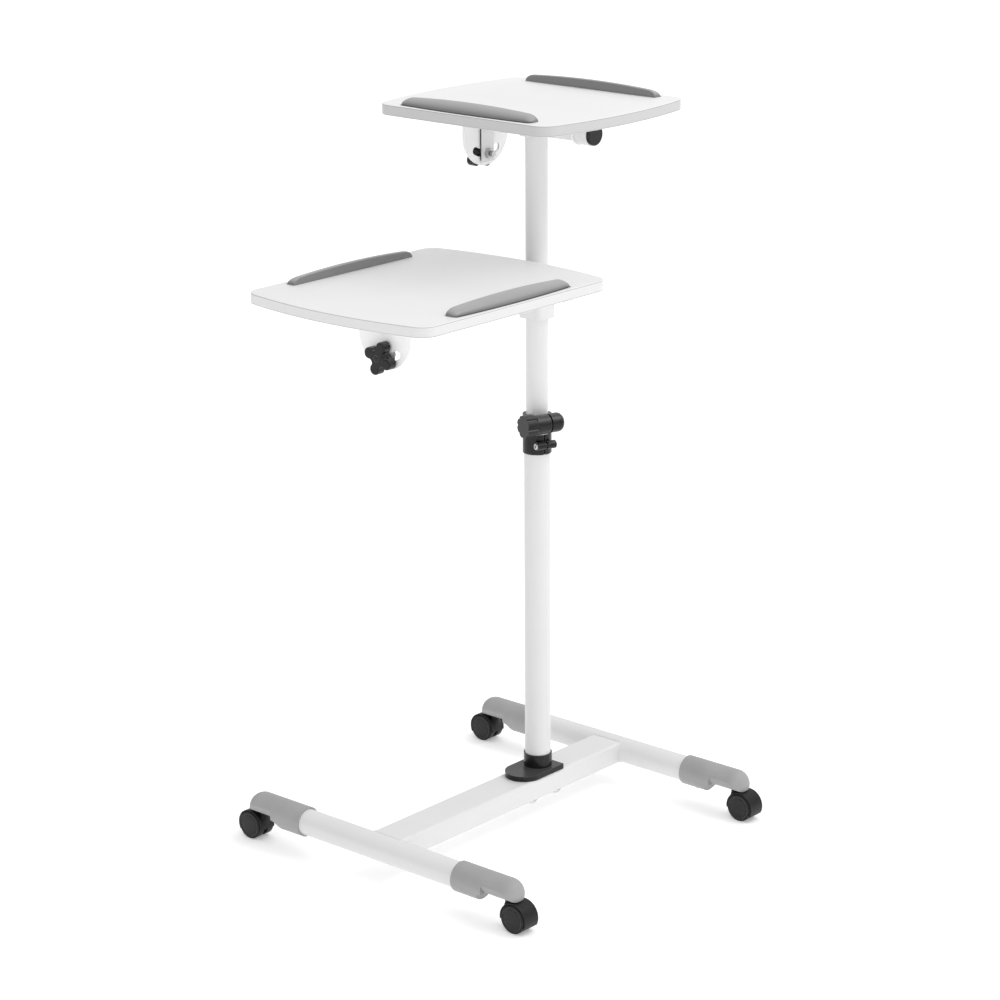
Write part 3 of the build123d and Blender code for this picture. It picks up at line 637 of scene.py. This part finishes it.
def belt_faces(here, there, sides):
    """Faces of a belt between two rings, given where each ring's points start."""
    turns = [(step + 1) % sides for step in range(sides)]
    return [(here + step, there + step, there + turn, here + turn) for step, turn in enumerate(turns)]


def scaled(outline, radius, height=1.0):
    """An outline of shares as (radius, height) in metres."""
    return [(radius * reach, height * rise) for reach, rise in outline]


def lathe(origin, direction, profile, sides):
    """A turned shape; the profile lists (radius, height) from foot to top."""
    along, ring = spokes(direction, sides)
    points = []
    for radius, height in profile:
        points += [Vector(origin) + along * height + spoke * radius for spoke in ring]
    return points, stack_faces(len(profile), sides)


def join_shapes(shapes):
    """Puts several shapes together."""
    points, faces = [], []
    for shape_points, shape_faces in shapes:
        start = len(points)
        points += shape_points
        faces += [tuple(start + i for i in face) for face in shape_faces]
    return points, faces


def block(low, high):
    """A box between two corners."""
    points = []
    for x in (low.x, high.x):
        for y in (low.y, high.y):
            points += [Vector((x, y, low.z)), Vector((x, y, high.z))]
    faces = [(0, 1, 3, 2), (4, 6, 7, 5), (0, 4, 5, 1), (2, 3, 7, 6), (0, 2, 6, 4), (1, 5, 7, 3)]
    return points, faces


def thread(origin, direction, radius, pitch, length):
    """A screw thread with its true helix, closed at both ends."""
    along, ring = spokes(direction, THREAD_SIDES)
    rows = max(int(length / pitch * THREAD_ROWS), THREAD_ROWS)
    depth = THREAD_DEPTH * pitch
    points = []
    for row in range(rows + 1):
        height = length * row / rows
        chamfer = min(height, length - height, depth) / depth
        for step, spoke in enumerate(ring):
            turn = (height / pitch - step / THREAD_SIDES) % 1.0
            crest = 1.0 - abs(2.0 * turn - 1.0)
            reach = radius - depth + depth * crest * chamfer
            points.append(Vector(origin) + along * height + spoke * reach)
    return points, stack_faces(rows + 1, THREAD_SIDES)


def weld_bead(path, outward, radius):
    """A rippled bead round a closed path; outward gives each point's direction away from the joint."""
    count = len(path)
    points, faces = [], []
    for step in range(count):
        following = (step + 1) % count
        run = (path[following] - path[step - 1]).normalized()
        out = (outward[step] - run * run.dot(outward[step])).normalized()
        cross = run.cross(out)
        ripple = BEAD_RIPPLE * abs(sin(step * BEAD_RIPPLE_TURN)) + BEAD_DRIFT * sin(step * BEAD_DRIFT_TURN)
        swell = radius * (BEAD_FLOOR + ripple)
        for spoke in range(BEAD_SIDES):
            angle = 2 * pi * spoke / BEAD_SIDES
            points.append(path[step] + (out * cos(angle) + cross * sin(angle)) * swell)
        faces += belt_faces(step * BEAD_SIDES, following * BEAD_SIDES, BEAD_SIDES)
    return points, faces


def pan_screw(seat, radius, height):
    """A pan head screw with a round recess, on a face that looks down."""
    profile = [(radius, 0.0), (radius, height * PAN_RIM)]
    for step in range(1, PAN_STEPS + 1):
        angle = radians(90 * step / PAN_STEPS)
        reach = PAN_FLAT + (1.0 - PAN_FLAT) * cos(angle)
        rise = PAN_RIM + (1.0 - PAN_RIM) * sin(angle)
        profile.append((radius * reach, height * rise))
    return lathe(seat, DOWN, profile + scaled(PAN_RECESS, radius, height), SCREW_SIDES)


def hex_bolt(seat, flat_radius, height):
    """A washer and a hexagon head with a chamfered end, on a face that looks down."""
    washer = lathe(seat, DOWN, scaled(WASHER_OUTLINE, flat_radius), WASHER_SIDES)
    corner = flat_radius / cos(pi / HEXAGON)
    profile = [(corner, 0.0), (corner, height * BOLT_HEAD_SIDE)]
    profile += scaled(BOLT_HEAD_END, flat_radius, height)
    head = lathe(Vector(seat) + Vector(DOWN) * BOLT_HEAD_SEAT, DOWN, profile, HEXAGON)
    return join_shapes([washer, head])


# Weld beads of the steel frame
def beam_section(half_width, half_height):
    """Closely spaced points round the beam's section, as (x, z) from its middle."""
    outline = []
    for sign_x, sign_z, start in ((1, 1, 0), (-1, 1, 90), (-1, -1, 180), (1, -1, 270)):
        for step in range(BEAM_CORNER_STEPS + 1):
            angle = radians(start + 90 * step / BEAM_CORNER_STEPS)
            outline.append((sign_x * (half_width - BEAM_CORNER) + BEAM_CORNER * cos(angle),
                            sign_z * (half_height - BEAM_CORNER) + BEAM_CORNER * sin(angle)))
    points = []
    for (x, z), (next_x, next_z) in zip(outline, outline[1:] + outline[:1]):
        steps = max(int(sqrt((next_x - x) ** 2 + (next_z - z) ** 2) / BEAD_STEP), 1)
        points += [(x + (next_x - x) * k / steps, z + (next_z - z) * k / steps) for k in range(steps)]
    return points


def add_leg_welds():
    """A bead round the beam's end where it meets each leg tube."""
    beam_low, beam_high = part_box("cross_beam")
    half_width = (beam_high[0] - beam_low[0]) / 2
    half_height = (beam_high[2] - beam_low[2]) / 2
    for name, toward in (("front", 1), ("rear", -1)):
        leg_low, leg_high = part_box(name + "_leg_tube")
        leg = middle(name + "_leg_tube")
        radius = (leg_high[2] - leg_low[2]) / 2
        path, outward = [], []
        for x, z in beam_section(half_width, half_height):
            reach = sqrt(max(radius ** 2 - z ** 2, 0.0))
            path.append(Vector((x, leg.y + toward * (reach + BEAD_LIFT), leg.z + z)))
            outward.append(Vector((x / half_width, toward, z / half_height)).normalized())
        bead = weld_bead(path, outward, LEG_BEAD)
        add_piece("weld_leg_" + name, bead, "base", "white_paint", BEAD_CREASE)


def ring_bead(origin, direction, radius, bead_radius, steps):
    """A bead round a tube's end."""
    outward = spokes(direction, steps)[1]
    path = [Vector(origin) + out * radius for out in outward]
    return weld_bead(path, outward, bead_radius)


def add_tube_welds():
    """Beads at the tilt tubes: round the collar's arm, the tabs and the mast's head."""
    arm_end = (LOWER_PIVOT.x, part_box("arm_collar")[0][1], LOWER_PIVOT.z)
    bead = ring_bead(arm_end, (0, -1, 0), TILT_TUBE_RADIUS, ARM_BEAD, TILT_BEAD_STEPS)
    add_piece("weld_arm", bead, "carriage", "white_paint", BEAD_CREASE)
    for shelf, pivot, axis, bearer in SHELVES:
        tab_back = pivot.copy()
        tab_back[axis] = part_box(shelf + "_tilt_tube")[0][axis] + SHEET
        bead = ring_bead(tab_back, AXES[axis], TILT_TUBE_RADIUS, TUBE_BEAD, TILT_BEAD_STEPS)
        add_piece("weld_" + shelf + "_tab", bead, bearer, "white_paint", BEAD_CREASE)
    head_foot = (COLUMN.x, COLUMN.y, UPPER_PIVOT.z - TILT_TUBE_RADIUS - SADDLE_FLOOR)
    bead = ring_bead(head_foot, (0, 0, 1), MAST_RADIUS, TUBE_BEAD, MAST_BEAD_STEPS)
    add_piece("weld_mast_head", bead, "mast", "white_paint", BEAD_CREASE)


# Screws, bolts and tilt knobs
def add_board_screws():
    """Four screws hold each yoke's plate to its board from below."""
    for shelf, pivot, axis, _ in SHELVES:
        shapes = []
        for run in YOKE_SCREW_RUNS:
            for side in (-YOKE_SCREW_SIDE, YOKE_SCREW_SIDE):
                seat = Vector((pivot.x, pivot.y, foot_of(shelf + "_board") - SHEET))
                seat[axis] += run
                seat[1 - axis] += side
                shapes.append(pan_screw(seat, YOKE_SCREW_RADIUS, YOKE_SCREW_HEIGHT))
        add_piece(shelf + "_board_screws", join_shapes(shapes), shelf + "_shelf", "steel")


def add_beam_bolts():
    """Four bolts under the beam pull the column's flange down."""
    shapes = []
    for x in (-BEAM_BOLT_SIDE, BEAM_BOLT_SIDE):
        for y in BEAM_BOLT_RUNS:
            seat = (COLUMN.x + x, COLUMN.y + y, foot_of("cross_beam"))
            shapes.append(hex_bolt(seat, BEAM_BOLT_FLAT, BEAM_BOLT_HEIGHT))
    add_piece("beam_bolts", join_shapes(shapes), "base", "white_paint", BOLT_CREASE)


def on_knob_axis(pivot, axis, place):
    """The point of a tilt knob's axis at a place along it."""
    point = Vector((pivot.x, pivot.y, pivot.z - SLOT_RADIUS))
    point[axis] = place
    return point


def add_studs():
    """The threaded end of each tilt knob's stud, past its nut."""
    for shelf, pivot, axis, _ in SHELVES:
        nut_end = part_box(shelf + "_tilt_nut")[1][axis]
        stud_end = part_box(shelf + "_tilt_knob")[1][axis]
        start = on_knob_axis(pivot, axis, nut_end - STUD_SINK)
        stud = thread(start, AXES[axis], STUD_RADIUS, STUD_PITCH, stud_end - nut_end + STUD_EXTRA)
        add_piece(shelf + "_stud_thread", stud, shelf + "_tilt_knob", "steel", THREAD_CREASE)


def add_tab_edge_shade():
    """A thin dark sheet on both long edges of each tilt tube's tab, next to the tongue it rubs on: painted
    shade in the gap.
    """
    for shelf, pivot, axis, bearer in SHELVES:
        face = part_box(shelf + "_tilt_tube")[0][axis]
        shapes = []
        for low_side, high_side in ((-TAB_LINE_FAR, -TAB_LINE_NEAR), (TAB_LINE_NEAR, TAB_LINE_FAR)):
            low = pivot + Vector((0.0, 0.0, TAB_LINE_FOOT))
            high = pivot + Vector((0.0, 0.0, TAB_LINE_TOP))
            low[axis] = face + TAB_LINE_START
            high[axis] = face + TAB_LINE_END
            low[1 - axis] += low_side
            high[1 - axis] += high_side
            shapes.append(block(low, high))
        add_piece(shelf + "_tab_edge_shade", join_shapes(shapes), bearer, "black_plastic")


def add_stopper_screws():
    """Two screws hold each stopper from below, through its board."""
    for shelf, _, axis, _ in SHELVES:
        shapes = []
        for side in STOP_SIDES[shelf]:
            for run in (-STOP_SCREW_RUN, STOP_SCREW_RUN):
                seat = middle(shelf + "_" + side + "_stopper")
                seat[axis] += run
                seat.z = foot_of(shelf + "_board")
                shapes.append(pan_screw(seat, STOP_SCREW_RADIUS, STOP_SCREW_HEIGHT))
        add_piece(shelf + "_stopper_screws", join_shapes(shapes), shelf + "_shelf", "steel")


def add_cap_screws():
    """One screw under each foot cap's sleeve goes into the leg tube."""
    shapes = []
    for end in ("front", "rear"):
        for side, sign in (("left", -1), ("right", 1)):
            cap = "foot_cap_" + end + "_" + side
            low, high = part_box(cap)
            inner = high[0] if sign < 0 else low[0]
            seat = (inner + sign * CAP_SLEEVE / 2, middle(cap).y, low[2] + CAP_SCREW_SINK)
            shapes.append(pan_screw(seat, CAP_SCREW_RADIUS, CAP_SCREW_HEIGHT))
    add_piece("foot_cap_screws", join_shapes(shapes), "base", "steel")


def add_collar_thread():
    """The thread of the collar knob's screw, between the collar and the knob."""
    collar_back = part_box("arm_collar")[1][1]
    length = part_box("collar_knob")[1][1] - COLLAR_KNOB_LENGTH - collar_back + COLLAR_THREAD_EXTRA
    start = middle("collar_knob")
    start.y = collar_back - COLLAR_THREAD_SINK
    screw = thread(start, AXES[1], COLLAR_SCREW_RADIUS + COLLAR_THREAD_PROUD, COLLAR_THREAD_PITCH, length)
    add_piece("collar_screw_thread", screw, "collar_knob", "steel", THREAD_CREASE)


def dished_face(origin, direction, radius):
    """A raised ring with a shallow dish inside, on a knob's face."""
    return lathe(origin, direction, scaled(DISH_OUTLINE, radius), DISH_SIDES)


def add_knob_faces():
    """A dished centre on the face of each tilt knob and of the collar knob."""
    for shelf, pivot, axis, _ in SHELVES:
        knob = shelf + "_tilt_knob"
        place = on_knob_axis(pivot, axis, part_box(knob)[0][axis])
        face = dished_face(place, -Vector(AXES[axis]), TILT_KNOB_DISH)
        add_piece(shelf + "_knob_face", face, knob, "black_plastic")
    place = middle("collar_knob")
    place.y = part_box("collar_knob")[1][1]
    face = dished_face(place, AXES[1], COLLAR_KNOB_DISH)
    add_piece("collar_knob_face", face, "collar_knob", "black_plastic")


# Stoppers
def spindle_radius(run, half, nose_length, nose_drop):
    """The spindle's radius at a distance from its middle, with ends that round off over a length."""
    arc = (half ** 2 + (STOP_RADIUS - STOP_END_RADIUS) ** 2) / (2 * (STOP_RADIUS - STOP_END_RADIUS))
    radius = STOP_RADIUS - arc + sqrt(arc ** 2 - run ** 2)
    past = min(max(run - half + nose_length, 0.0) / nose_length, 1.0)
    return radius - nose_drop * (1.0 - sqrt(1.0 - past ** 2))


def stopper_section(radius, foot_radius):
    """A section's outline as (out, up): upright inner face, round top edge and side, undercut foot."""
    rise = sqrt(radius ** 2 - STOP_TOP_ROUND ** 2) - STOP_AXIS_DROP
    corner = min(STOP_TOP_ROUND, (rise + STOP_SINK) * STOP_CORNER_SHARE)
    rise = sqrt(radius ** 2 - corner ** 2) - STOP_AXIS_DROP
    face = rise - corner + STOP_SINK
    outline = [(0.0, -STOP_SINK + face * step / STOP_FACE_STEPS) for step in range(STOP_FACE_STEPS)]
    for step in range(STOP_CORNER_STEPS + 1):
        angle = radians(180.0 - 90.0 * step / STOP_CORNER_STEPS)
        outline.append((corner + corner * cos(angle), rise - corner + corner * sin(angle)))
    reach = sqrt(foot_radius ** 2 - (STOP_AXIS_DROP + STOP_SHADOW_GAP) ** 2) * STOP_REACH
    corner = min(corner, reach * STOP_FOOT_SHARE)
    for step in range(1, STOP_SIDE_STEPS + 1):
        angle = radians(90.0 * step / STOP_SIDE_STEPS)
        outline.append((corner + (reach - corner) * sin(angle),
                        STOP_SHADOW_GAP + (rise - STOP_SHADOW_GAP) * cos(angle)))
    foot = max(reach - STOP_UNDERCUT, reach * STOP_FOOT_SHARE)
    outline += [(foot, STOP_SHADOW_GAP), (foot, -STOP_SINK)]
    return outline


def stopper_runs(half):
    """Distances of a stopper's sections from its middle, closer together on its noses."""
    body = half - STOP_NOSE_LENGTH
    runs = [body * step / STOP_BODY_ROWS for step in range(STOP_BODY_ROWS)]
    for step in range(STOP_NOSE_ROWS + 1):
        runs.append(half - STOP_NOSE_LENGTH * (1 - sin(pi / 2 * step / STOP_NOSE_ROWS)))
    return [-run for run in reversed(runs[1:])] + runs


def add_stopper(node, shelf, along, outward, top):
    """An edge stopper: a quarter of a spindle, smooth along its whole length."""
    low, high = (Vector(c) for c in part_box(node))
    half = abs((high - low).dot(along)) / 2
    inner = (low + high) / 2 - outward * (abs((high - low).dot(outward)) / 2)
    inner.z = top
    runs = stopper_runs(half)
    points, faces = [], []
    for run in runs:
        radius = spindle_radius(abs(run), half, STOP_NOSE_LENGTH, STOP_NOSE_DROP)
        foot_radius = spindle_radius(abs(run), half, STOP_END_ROUND, STOP_END_ROUND)
        for out, up in stopper_section(radius, foot_radius):
            points.append(inner + along * run + outward * out + Vector((0, 0, up)))
    count = len(points) // len(runs)
    last = len(points) - count
    for start in range(0, last, count):
        faces += belt_faces(start, start + count, count)
    faces.append(tuple(range(count)))
    faces.append(tuple(reversed(range(last, last + count))))
    if along.cross(outward).z < 0:
        faces = [tuple(reversed(face)) for face in faces]
    piece = add_piece(node + "_shell", (points, faces), shelf, "stopper_grey", ROUND_CREASE)
    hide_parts(node)


def add_stoppers():
    """Two stoppers on each board, along the edges that run with its tilt axis."""
    for shelf, _, axis, _ in SHELVES:
        along, across = Vector(AXES[axis]), Vector(AXES[1 - axis])
        for side, sign in zip(STOP_SIDES[shelf], (-1, 1)):
            node = shelf + "_" + side + "_stopper"
            add_stopper(node, shelf + "_shelf", along, across * sign, top_of(shelf + "_board"))


# Height clamp
def socket_head(origin, direction, radius, height):
    """A screw head with a chamfered rim and a six sided socket."""
    along, ring = spokes(direction, SOCKET_SIDES)
    points = []
    for reach, level in scaled(SOCKET_RIM, radius, height):
        points += [Vector(origin) + along * level + spoke * reach for spoke in ring]
    for reach, level in scaled(SOCKET_WALL, radius * SOCKET_SHARE, height):
        for step, spoke in enumerate(ring):
            angle = 2 * pi * step / SOCKET_SIDES
            bend = cos(pi / HEXAGON) / cos(angle % (2 * pi / HEXAGON) - pi / HEXAGON)
            points.append(Vector(origin) + along * level + spoke * reach * bend)
    return points, stack_faces(len(SOCKET_RIM) + len(SOCKET_WALL), SOCKET_SIDES)


def add_pinch_bolt():
    """The socket screw and nut that close the clamp's lower band."""
    out = Vector((cos(radians(CLAMP_TURN)), sin(radians(CLAMP_TURN)), 0.0))
    run = Vector((-out.y, out.x, 0.0))
    center = Vector((COLUMN.x, COLUMN.y, foot_of("height_clamp") + PINCH_RISE)) + out * PINCH_OUT
    head_seat = center - run * PINCH_HALF
    nut_seat = center + run * PINCH_HALF
    head = socket_head(head_seat, -run, PINCH_HEAD, PINCH_SHANK)
    shank = lathe(head_seat, run, [(PINCH_SHANK, 0.0), (PINCH_SHANK, 2 * PINCH_HALF)], SCREW_SIDES)
    nut = lathe(nut_seat, run, scaled(NUT_OUTLINE, PINCH_HEAD) + [(PINCH_SHANK, NUT_THICKNESS)], HEXAGON)
    tip_start = center + run * (PINCH_HALF + PINCH_TIP_START)
    tip = thread(tip_start, run, PINCH_SHANK, PINCH_PITCH, PINCH_TIP_LENGTH)
    piece = add_piece("pinch_screw", join_shapes([head, shank, nut, tip]), "base", "steel", BOLT_CREASE)
    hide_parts("clamp_bolt")


def add_clamp_slit_shade():
    """A thin dark strip between the clamp and the tube, which shows in the clamp's slit as painted shade.
    """
    foot = foot_of("height_clamp") + SLIT_SHADE_LIFT
    points, faces = [], []
    for level in (foot, foot + CLAMP_BAND):
        for radius in (SLIT_SHADE_INNER, SLIT_SHADE_OUTER):
            for step in range(SLIT_SHADE_STEPS + 1):
                turn = 2 * SLIT_SHADE_HALF_TURN * step / SLIT_SHADE_STEPS - SLIT_SHADE_HALF_TURN
                angle = radians(CLAMP_TURN + turn)
                place = (COLUMN.x + radius * cos(angle), COLUMN.y + radius * sin(angle), level)
                points.append(Vector(place))
    row = SLIT_SHADE_STEPS + 1
    for step in range(SLIT_SHADE_STEPS):
        inner_foot, outer_foot, inner_top, outer_top = (step + row * line for line in range(4))
        faces += [
            (outer_foot, outer_foot + 1, outer_top + 1, outer_top),
            (inner_foot + 1, inner_foot, inner_top, inner_top + 1),
            (inner_foot, inner_foot + 1, outer_foot + 1, outer_foot),
            (inner_top + 1, inner_top, outer_top, outer_top + 1),
        ]
    end = SLIT_SHADE_STEPS
    faces += [(0, row, 3 * row, 2 * row), (row + end, end, 2 * row + end, 3 * row + end)]
    add_piece("clamp_slit_shade", (points, faces), "base", "black_plastic")


# Casters
def add_wheel_faces():
    """A raised rim and a shallow crowned disc on the outside of each wheel."""
    for end in ("front", "rear"):
        for side in ("left", "right"):
            corner = end + "_" + side
            low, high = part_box("caster_wheels_" + corner)
            axle = middle("caster_wheels_" + corner)
            shapes = []
            for face, out in ((low[1], -1), (high[1], 1)):
                shapes.append(lathe((axle.x, face, axle.z), (0, out, 0), WHEEL_OUTLINE, WHEEL_SIDES))
            wheels = join_shapes(shapes)
            add_piece("wheel_faces_" + corner, wheels, "wheels_" + corner, "black_plastic", ROUND_CREASE)


make_camera()
make_world()
make_area_light("key", KEY_PLACE, KEY_SIZE, KEY_POWER)
make_area_light("fill", FILL_PLACE, FILL_SIZE, FILL_POWER)
make_floor()
dress_nodes()
add_leg_welds()
add_tube_welds()
add_board_screws()
add_beam_bolts()
add_studs()
add_tab_edge_shade()
add_stoppers()
add_stopper_screws()
add_cap_screws()
add_collar_thread()
add_knob_faces()
add_pinch_bolt()
add_clamp_slit_shade()
add_wheel_faces()
